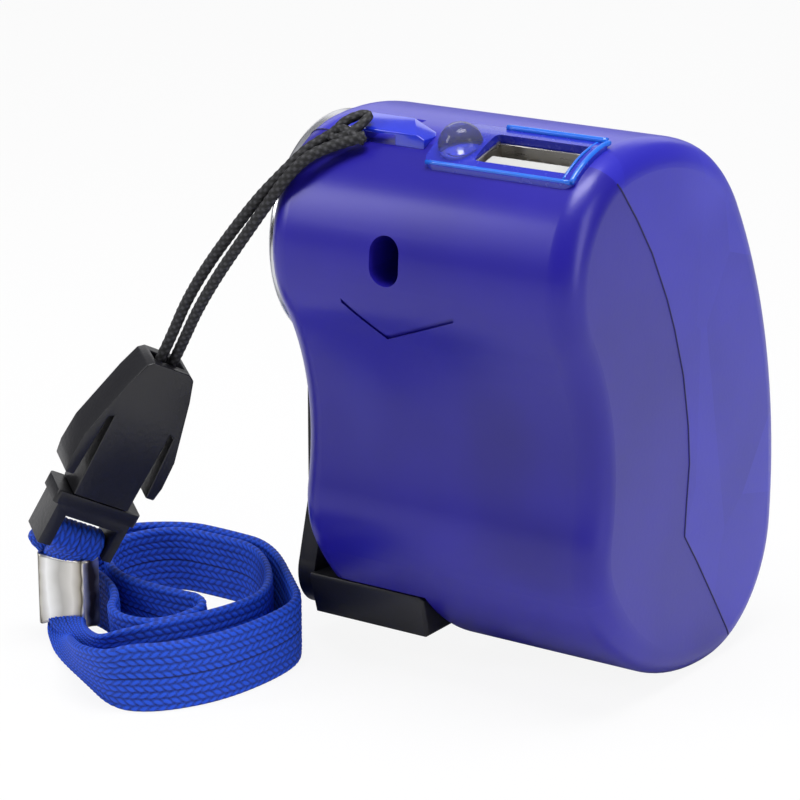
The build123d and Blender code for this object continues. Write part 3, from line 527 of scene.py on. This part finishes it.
innerRun = [(-34.0, -26.4), (-42.0, -24.3), (-50.8, -22.6), (-56.6, -16.2), (-53.0, -7.0),
            (-45.5, -6.6), (-37.6, -7.0), (-27.2, -18.6), (-27.4, -27.4), (-31.4, -36.6)]
innerLow, innerHigh = upright(innerRun, {1: (0.8, -2.2, 8.7), 2: (1.2, -2.2, 8.7)})
innerLow += [onFloor(-34.4, -39.4, 0.2), onFloor(-39.6, -38.8, 0.5),
             onFloor(-47.6, -34.4, 1.2), onFloor(-55.6, -30.9, 1.8),
             onFloor(-55.8, -30.0, 3.2)]
innerHigh += [onFloor(-34.0, -40.3, 8.6), onFloor(-36.9, -41.8, 7.5),
              onFloor(-41.8, -38.0, 5.6), onFloor(-48.6, -31.2, 3.4),
              onFloor(-49.5, -29.5, 3.2)]
strapPiece("strapInner", innerLow, innerHigh, ["strap_inner", "strap_inner_end"])
print("strap built")

# strap through the clamp and over the buckle's bar
buckleAt = at(-48.4, -29.0, 20.2)
buckleUp = Vector((0.409, 0.241, 0.880)).normalized()
buckleSide = Vector((0.474, 0.768, -0.430)).normalized()
buckleOut = buckleSide.cross(buckleUp)


def onBuckle(side, up, out):
    return buckleAt + (buckleSide * side + buckleUp * up + buckleOut * out) * mm


foldLow = [onFloor(-55.8, -30.2, 3.4), onFloor(-55.9, -30.1, 10.4), onFloor(-55.4, -30.7, 12.2),
           onBuckle(-3.3, -6.8, 1.9), onBuckle(-3.3, -4.4, 1.4),
           onBuckle(-3.3, -4.4, -1.4), onBuckle(-3.3, -6.8, -1.7), onFloor(-55.6, -29.4, 12.2),
           onFloor(-55.8, -28.6, 10.4), onFloor(-55.8, -28.6, 3.4)]
foldHigh = [onFloor(-49.4, -29.6, 3.4), onFloor(-49.4, -29.6, 10.0), onFloor(-49.2, -29.4, 11.2),
            onBuckle(3.9, -6.6, 1.9), onBuckle(3.9, -4.4, 1.4),
            onBuckle(3.9, -4.4, -1.4), onBuckle(3.9, -6.6, -1.7), onFloor(-49.6, -27.9, 11.6),
            onFloor(-49.4, -28.0, 10.0), onFloor(-49.4, -28.0, 3.4)]
strapPiece("strapFold", foldLow, foldHigh, ["strap_fold", "strap_ends", "strap_link"])

# bunched layer that shows past the buckle's left leg
tuckLow = [onFloor(-56.0, -28.8, 7.0), onFloor(-56.9, -29.2, 10.8), onFloor(-58.2, -30.3, 12.4),
           onFloor(-57.8, -31.2, 14.2), onFloor(-55.0, -32.0, 15.2)]
tuckHigh = [onFloor(-50.5, -28.2, 7.0), onFloor(-51.6, -28.3, 11.0), onFloor(-53.0, -28.6, 13.2),
            onFloor(-53.0, -29.8, 14.8), onFloor(-52.5, -30.8, 15.6)]
strapPiece("strapTuck", tuckLow, tuckHigh, [],
           acrossCount=strap["tuckAcross"])


# lanyard cord: two strands and the hitch round the eye
cord = {"radius": 0.75 * mm, "hitchRadius": 0.62 * mm, "sides": 20, "step": 0.25 * mm,
        "plait": 2.2 * mm, "thin": 0.9, "pathEvery": 4}


def cordPiece(name, points, radius, body=None):
    # braided round cord along the route's spline
    line, length = splinePoints(points, cord["step"])
    weaveShade = []

    def reachAt(walked, angle):
        turn = 2 * math.pi * walked / cord["plait"]
        weave = abs(math.cos(2 * angle + turn) * math.cos(2 * angle - turn))
        weaveShade.append(weave)
        return radius * (cord["thin"] + (1 - cord["thin"]) * weave)

    piece = meshPiece(name, *tubeAlong(line, cord["sides"], reachAt), cordYarn, body)
    piece.data.attributes.new("yarn", "FLOAT", "POINT").data.foreach_set("value", weaveShade)
    print(name, "length mm", round(length / mm, 1))
    return piece, length, line


leftStrand = [at(-14.6, -20.9, 71.3), at(-17.2, -22.9, 69.8), at(-19.4, -25.4, 66.8),
              at(-24.0, -26.4, 61.9), at(-34.0, -25.4, 50.2), at(-39.5, -24.2, 40.7),
              at(-41.2, -25.1, 37.0)]
rightStrand = [at(-11.0, -20.8, 71.0), at(-14.6, -23.0, 69.9), at(-17.6, -25.7, 67.8),
               at(-22.2, -26.9, 61.3), at(-32.2, -25.6, 49.1), at(-38.6, -23.0, 39.9),
               at(-40.3, -23.8, 36.3)]
for name, route, nodes in (("cordLeft", leftStrand, ["lanyard_cord"]),
                           ("cordRight", rightStrand, [])):
    piece, length, line = cordPiece(name, route, cord["radius"])
    if nodes:
        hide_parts(*nodes)
    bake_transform(piece)
hitch = [at(-14.6, -21.4, 70.6), at(-14.9, -21.2, 71.6), at(-14.0, -20.4, 72.6),
         at(-12.8, -19.0, 73.2), at(-11.9, -18.5, 73.2), at(-11.7, -19.5, 72.7),
         at(-12.2, -20.9, 71.8), at(-13.4, -21.8, 70.9), at(-14.8, -22.1, 70.4),
         at(-15.4, -21.7, 71.0), at(-14.6, -21.2, 71.7), at(-13.2, -21.3, 71.6),
         at(-11.9, -21.4, 71.0), at(-10.9, -21.0, 70.4)]
cordPiece("cordHitch", hitch, cord["hitchRadius"], "housing")
print("cord built")


# parting line
seam = {"radius": 0.12 * mm, "sides": 8, "shortest": 4 * mm, "reach": 0.02 * mm,
        "heart": (0, -2, 36), "facing": 0.2}
weldGap = 0.002 * mm


def outerSeams():
    # lines on the outer skin where the two housing halves meet
    grain = seam["reach"]
    grid = {tuple(round(c / grain) for c in v.co)
            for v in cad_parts["housing_rear"].data.vertices}

    def shared(co):
        base = [round(c / grain) for c in co]
        return any((base[0] + i, base[1] + j, base[2] + k) in grid
                   for i in (-1, 0, 1) for j in (-1, 0, 1) for k in (-1, 0, 1))

    build = bmesh.new()
    build.from_mesh(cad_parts["housing_front"].data)
    bmesh.ops.remove_doubles(build, verts=build.verts, dist=weldGap)
    touching = {v.index for v in build.verts if shared(v.co)}
    meet = {f.index for f in build.faces if all(v.index in touching for v in f.verts)}
    heart = at(*seam["heart"])
    links = {}
    for e in build.edges:
        outside = [f for f in e.link_faces if f.index not in meet]
        if len(outside) != 1 or len(e.link_faces) != 2:
            continue
        a, b = e.verts
        away = (a.co + b.co) / 2 - heart
        if outside[0].normal.dot(away.normalized()) < seam["facing"]:
            continue
        links.setdefault(a.index, []).append(b.index)
        links.setdefault(b.index, []).append(a.index)
    build.verts.ensure_lookup_table()
    loops, used = [], set()
    ends = sorted(links, key=lambda n: (len(links[n]) != 1, n))
    for start in ends:
        if start in used:
            continue
        loop, spot = [start], start
        used.add(start)
        while True:
            onward = [n for n in links[spot] if n not in used]
            if not onward:
                break
            spot = onward[0]
            used.add(spot)
            loop.append(spot)
        if len(loop) > 3:
            loops.append([build.verts[i].co.copy() for i in loop])
    build.free()
    return loops


seamTubes = [tubeAlong(line, seam["sides"], lambda walked, angle: seam["radius"])
             for line in outerSeams() if lineLength(line) >= seam["shortest"]]
seamLine = meshPiece("seamLine", *joined(seamTubes), seamDark)
print("seam built")


# rigid pieces, with small rounded edges
twins = {
    "buckleSocket": {"node": "buckle_socket", "look": buckleBlack, "slot": "buckle_black",
                     "width": 0.28, "body": "buckle_upper"},
    "bucklePlug": {"node": "buckle_plug", "look": buckleBlack, "slot": "buckle_black",
                   "width": 0.2, "body": "housing"},
    "lanyardEye": {"node": "lanyard_eye", "look": eyeBlue, "slot": "rim_blue",
                   "width": 0.3, "body": "housing"},
    "crankArm": {"node": "crank_arm", "look": blackPlastic, "slot": "black_plastic",
                 "width": 0.22, "body": "arm"},
    "crankHandle": {"node": "crank_handle", "look": blackPlastic, "slot": "black_plastic",
                    "width": 0.25, "body": "arm"},
}
flatAngle, sharpAngle, shadeAngle = 0.6, 28.0, 35


def softened(piece, node, look, slot, width, body):
    # the CAD piece again with its sharp edges rounded
    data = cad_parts[node].data.copy()
    data.name = piece
    build = bmesh.new()
    build.from_mesh(data)
    bmesh.ops.remove_doubles(build, verts=build.verts, dist=weldGap)
    bmesh.ops.dissolve_limit(build, angle_limit=math.radians(flatAngle), verts=build.verts,
                             edges=build.edges)
    sharp = [e for e in build.edges if len(e.link_faces) == 2
             and math.degrees(e.calc_face_angle(0)) > sharpAngle]
    bmesh.ops.bevel(build, geom=sharp, offset=width * mm, offset_type="OFFSET", segments=2,
                    profile=0.6, affect="EDGES", clamp_overlap=True)
    bmesh.ops.triangulate(build, faces=[f for f in build.faces if len(f.verts) > 4])
    build.to_mesh(data)
    build.free()
    data.materials.clear()
    data.materials.append(look)
    for poly in data.polygons:
        poly.use_smooth = True
    twin = bpy.data.objects.new(piece, data)
    scene.collection.objects.link(twin)
    data.set_sharp_from_angle(angle=math.radians(shadeAngle))
    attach(twin, body)
    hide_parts(node)


for piece, values in twins.items():
    softened(piece, **values)
print("edges softened")


# clamp: a folded sheet with a ridge by each front edge and a wavy lower lip
def clampPiece():
    halfW, halfD = clamp["wide"] / 2, clamp["deep"] / 2
    low, high, turn = clamp["low"], clamp["high"], clamp["turn"]
    ring, levels = clamp["ring"], clamp["levels"]
    centreX, centreY = clamp["centre"]
    verts, faces = [], []
    for inset in (0.0, clamp["wall"]):
        for k in range(levels + 1):
            for i in range(ring):
                angle = 2 * math.pi * i / ring
                c, n = math.cos(angle), math.sin(angle)
                x = math.copysign(abs(c) ** clamp["squareWide"], c) * (halfW - inset)
                y = math.copysign(abs(n) ** clamp["squareDeep"], n) * (halfD - inset)
                front = max(0.0, -y / halfD)
                wave = math.cos(x * clamp["lipTurns"] + clamp["lipStart"])
                lip = low + front * (clamp["lipWave"] * wave + clamp["lipRise"])
                top = high - clamp["topWave"] * front * math.cos(x * clamp["topTurns"])
                z = lip + (top - lip) * k / levels
                rolled = max(0.0, abs(x) / halfW - clamp["ridgeFrom"]) / (1 - clamp["ridgeFrom"])
                if y < 0:
                    y -= clamp["ridge"] * math.sin(math.pi * min(1.0, rolled))
                verts.append(at(centreX + x * math.cos(turn) - y * math.sin(turn),
                                centreY + x * math.sin(turn) + y * math.cos(turn), z))
    size = (levels + 1) * ring
    for layer in (0, 1):
        for k in range(levels):
            for i in range(ring):
                n = (i + 1) % ring
                a = layer * size + k * ring
                faces.append((a + i, a + n, a + ring + n, a + ring + i))
    for k in (0, levels):
        for i in range(ring):
            n = (i + 1) % ring
            a = k * ring
            faces.append((a + i, size + a + i, size + a + n, a + n))
    piece = meshPiece("strapClamp", verts, faces, clampSilver)
    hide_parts("strap_clamp")


clampPiece()


# lamp: a clear dome over a blue cup, square to the tilted mouth
tilt = math.radians(15)
mouthUp = Vector((0, -math.sin(tilt), math.cos(tilt)))
mouthBack = Vector((0, math.cos(tilt), math.sin(tilt)))
mouthRight = Vector((1, 0, 0))


def onMouth(origin, x, y, z):
    return at(*origin) + (mouthRight * x + mouthBack * y + mouthUp * z) * mm


lamp = {"at": (1.3, -18.4, 70.25), "radius": 2.75, "foot": -5.5, "neck": 0.9, "tip": 0.05,
        "sides": 48}


def turned(profile):
    # body of revolution round the mouth's normal from (radius, height) pairs
    verts, sides = [], lamp["sides"]
    for r, z in profile:
        for k in range(sides):
            angle = 2 * math.pi * k / sides
            verts.append(onMouth(lamp["at"], r * math.cos(angle), r * math.sin(angle), z))
    return verts, ringFaces(len(profile), sides, endStep=1)


domeR, neck = lamp["radius"], lamp["neck"]
dome = [(domeR, lamp["foot"]), (domeR, neck)]
dome += [(domeR * math.cos(math.radians(a)), neck + domeR * math.sin(math.radians(a)))
         for a in range(6, 90, 6)] + [(lamp["tip"], neck + domeR)]
lampDome = meshPiece("lampDome", *turned(dome), lampClear)
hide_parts("led_lamp")
cup = [(0.4, -3.0), (1.5, -1.2), (2.3, -0.4), (2.35, 0.1), (1.2, 0.2), (0.7, -0.3),
       (0.05, -0.4)]
lampCup = meshPiece("lampCup", *turned(cup), eyeBlue)


# socket tongue and steel lips
outlet = {"at": (11.0, -17.8, 70.1),
          "blade": (-5.4, 5.6, -2.35, -0.55, -11.2, 0.35, 0.18),
          "root": (-5.9, 5.9, -2.2, 2.2, -13.5, -11.3, 0.2),
          "leftLip": (-6.5, -6.15, -2.75, 2.75, -6.0, 0.55, 0.1),
          "backLip": (-6.15, 6.3, 2.4, 2.72, -6.0, 0.4, 0.1)}


def slab(x0, x1, y0, y1, z0, z1, edge):
    # box with rounded edges, in the mouth's own axes
    build = bmesh.new()
    bmesh.ops.create_cube(build, size=1.0)
    for v in build.verts:
        x, y, z = (part + 0.5 for part in v.co)
        v.co = onMouth(outlet["at"], x0 + x * (x1 - x0), y0 + y * (y1 - y0),
                       z0 + z * (z1 - z0))
    bmesh.ops.bevel(build, geom=build.edges[:], offset=edge * mm, offset_type="OFFSET",
                    segments=3, profile=0.5, affect="EDGES")
    verts = [v.co.copy() for v in build.verts]
    faces = [tuple(v.index for v in f.verts) for f in build.faces]
    build.free()
    return verts, faces


tongue = meshPiece("socketTongue", *joined([slab(*outlet["blade"]), slab(*outlet["root"])]),
                   whitePlastic)
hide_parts("usb_tongue")
lips = meshPiece("socketLips", *joined([slab(*outlet["leftLip"]), slab(*outlet["backLip"])]),
                 socketSteel)

# painted highlight: bright azure bars along the outlet's rim edges, laid on the top lobe
crownAt, crownR = (-12.2, 56.9), 15.0


def onCrown(x, degrees, proud):
    # point over the top lobe; degrees run from its crest towards the front
    a = math.radians(degrees)
    return at(x, crownAt[0] - (crownR + proud) * math.sin(a),
              crownAt[1] + (crownR + proud) * math.cos(a))


barSides, barSteps = 10, 4


def lipBar(points, radius=0.3):
    dense = []
    for p, q in zip(points, points[1:]):
        dense += [p.lerp(q, k / barSteps) for k in range(barSteps)]
    return tubeAlong(dense + [points[-1]], barSides, lambda walked, angle: radius * mm)


rimHighlightBars = [lipBar([onCrown(x, 37.6, 0.55) for x in (-1.6, 4.0, 10.0, 14.0, 18.3)]),
       lipBar([onCrown(18.4, d, 0.55) for d in (37.6, 32, 26, 20, 14, 8, 3.5)], 0.36),
       lipBar([onCrown(x, 4.2, 0.75) for x in (4.6, 8.0, 12.0, 16.0, 18.3)], 0.42),
       lipBar([onCrown(17.2, d, 0.5) for d in (36.5, 30, 24, 18, 12, 5)], 0.2)]
rimHighlightLine = meshPiece("outletRimHighlight", *joined(rimHighlightBars), rimHighlightAzure)
print("top details built")


# camera at the photograph's view, lights and floor
cameraView = {"azimuth": 34.04, "elevation": 16.88, "lens": 139.1, "sensor": 36.0,
              "clip": 0.01, "place": (196.62, -320.63, 148.56)}


def setCamera():
    azimuth = math.radians(cameraView["azimuth"])
    elevation = math.radians(cameraView["elevation"])
    back = Vector((math.sin(azimuth) * math.cos(elevation),
                   -math.cos(azimuth) * math.cos(elevation), math.sin(elevation)))
    right = Vector((math.cos(azimuth), math.sin(azimuth), 0))
    up = back.cross(right)
    data = bpy.data.cameras.new("camera")
    data.lens = cameraView["lens"]
    data.sensor_width = cameraView["sensor"]
    data.clip_start = cameraView["clip"]
    camera = bpy.data.objects.new("camera", data)
    scene.collection.objects.link(camera)
    spin = Matrix((right, up, back)).transposed().to_4x4()
    camera.matrix_world = Matrix.Translation(at(*cameraView["place"])) @ spin
    scene.camera = camera


setCamera()


lightBoxes = {
    "topBox": {"place": (0.05, -0.05, 0.50), "aim": (0, 0, 0.04), "size": (0.30, 0.16),
               "power": 2.0},
    "leftBox": {"place": (-0.42, -0.42, 0.34), "aim": (0, 0, 0.04), "size": (0.14, 0.34),
                "power": 1.3},
    "rightBox": {"place": (0.55, -0.05, 0.22), "aim": (0, 0, 0.04), "size": (0.20, 0.45),
                 "power": 1.0},
    "backBox": {"place": (-0.32, 0.50, 0.30), "aim": (0, 0, 0.06), "size": (0.60, 0.28),
                "power": 0.55},
}


def softBox(name, place, aim, size, power):
    data = bpy.data.lights.new(name, "AREA")
    data.shape = "RECTANGLE"
    data.size, data.size_y = size
    data.energy = power
    light = bpy.data.objects.new(name, data)
    scene.collection.objects.link(light)
    light.location = place
    light.rotation_euler = (Vector(aim) - Vector(place)).to_track_quat("-Z", "Y").to_euler()


for name, values in lightBoxes.items():
    softBox(name, **values)


def studioWorld():
    # white to the camera, dimmer and darker below to everything else
    world = bpy.data.worlds.new("studio")
    world.use_nodes = True
    nodes, links = world.node_tree.nodes, world.node_tree.links
    sky = nodes["Background"]
    source = nodes.new("ShaderNodeTexCoord")
    split = nodes.new("ShaderNodeSeparateXYZ")
    links.new(source.outputs["Generated"], split.inputs["Vector"])
    links.new(ramp(nodes, links, split.outputs["Z"],
                   [(0.0, (0.30, 0.30, 0.32)), (0.35, (0.22, 0.22, 0.24)),
                    (1.0, (0.75, 0.75, 0.78))]), sky.inputs["Color"])
    sky.inputs["Strength"].default_value = 0.6
    white = nodes.new("ShaderNodeBackground")
    white.inputs["Color"].default_value = (1, 1, 1, 1)
    choose = nodes.new("ShaderNodeMixShader")
    seen = nodes.new("ShaderNodeLightPath")
    links.new(seen.outputs["Is Camera Ray"], choose.inputs["Fac"])
    links.new(sky.outputs["Background"], choose.inputs[1])
    links.new(white.outputs["Background"], choose.inputs[2])
    links.new(choose.outputs["Shader"], nodes["World Output"].inputs["Surface"])
    scene.world = world


studioWorld()


reach, floorGlow = 3.0, 0.90


def makeFloor():
    data = bpy.data.meshes.new("floor")
    data.from_pydata([(-reach, -reach, 0), (reach, -reach, 0), (reach, reach, 0),
                      (-reach, reach, 0)], [], [(0, 1, 2, 3)])
    floor = bpy.data.objects.new("floor", data)
    scene.collection.objects.link(floor)
    mat, nodes, links, shader = newMaterial("floorWhite")
    vector = coords(nodes, links)
    cloud = noiseTex(nodes, links, vector, 6.0, 2.0)
    links.new(ramp(nodes, links, cloud, [(0.2, (0.80, 0.80, 0.80)), (0.8, (0.84, 0.84, 0.84))]),
              shader.inputs["Base Color"])
    shader.inputs["Roughness"].default_value = 0.9
    glow = nodes.new("ShaderNodeEmission")
    glow.inputs["Strength"].default_value = 1.0
    choose = nodes.new("ShaderNodeMixShader")
    seen = nodes.new("ShaderNodeLightPath")
    links.new(times(nodes, links, seen.outputs["Is Camera Ray"], floorGlow),
              choose.inputs["Fac"])
    links.new(shader.outputs["BSDF"], choose.inputs[1])
    links.new(glow.outputs["Emission"], choose.inputs[2])
    links.new(choose.outputs["Shader"], nodes["Material Output"].inputs["Surface"])
    data.materials.append(mat)


makeFloor()
scene.view_settings.view_transform = "Standard"
print("stage set")
